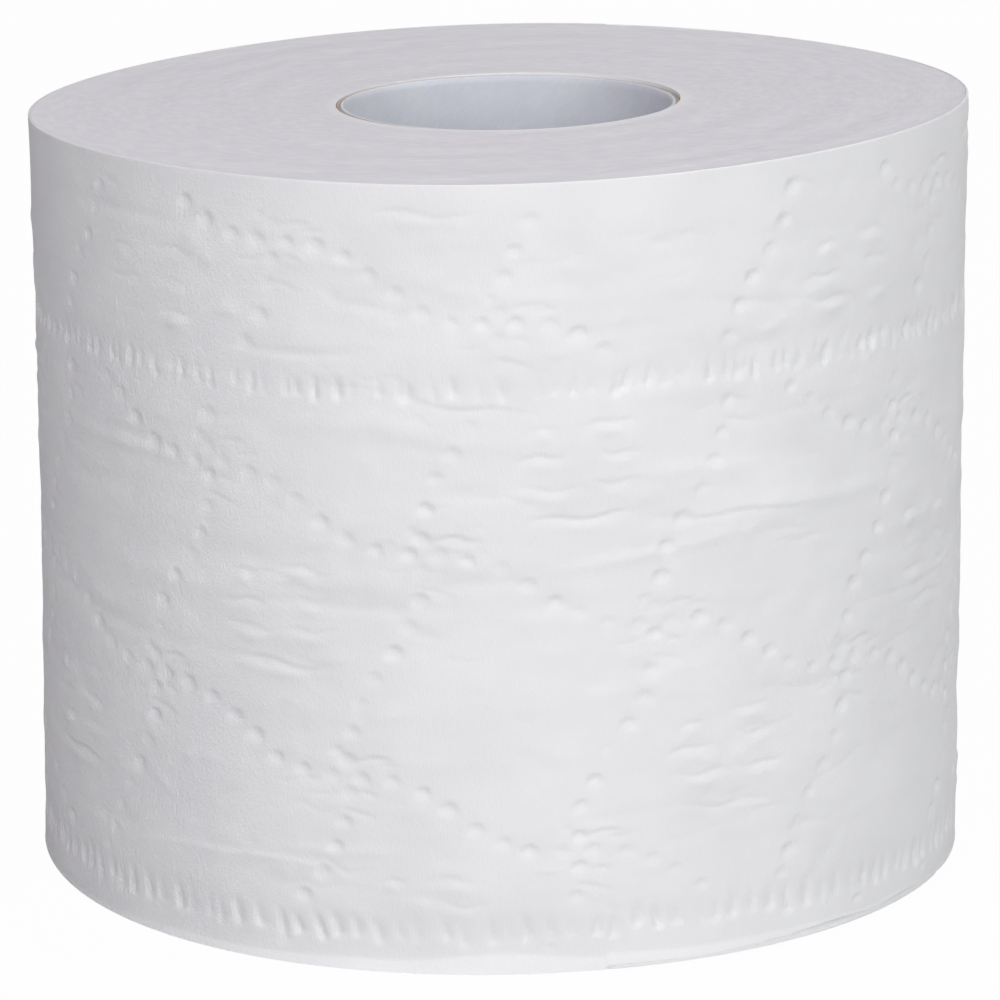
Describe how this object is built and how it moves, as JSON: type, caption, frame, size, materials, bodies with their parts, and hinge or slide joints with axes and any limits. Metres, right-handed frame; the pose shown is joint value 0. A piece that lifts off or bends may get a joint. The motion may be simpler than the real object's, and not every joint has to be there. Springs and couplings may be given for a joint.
{
  "type": "toilet paper roll",
  "caption": "White embossed toilet paper, wound on a two-ply paperboard core and standing on its end.",
  "frame": {"origin": "centre of the lower end, on the roll's axis", "axes": "+Z along the roll's axis, upwards; -Y towards the viewer; the loose end of the paper at the back"},
  "size_m": [0.1217, 0.1218, 0.1],
  "materials": {
    "tissue": "soft white creped tissue, embossed with ridges, dotted waves and a small sprig",
    "brown_board": "brown kraft board, matt",
    "grey_board": "pale blue-grey recycled board, matt with short fibres"
  },
  "bodies": {
    "root": {"tissue_roll": "tissue", "core_outer_ply": "brown_board", "core_inner_ply": "grey_board"}
  },
  "joints": []
}
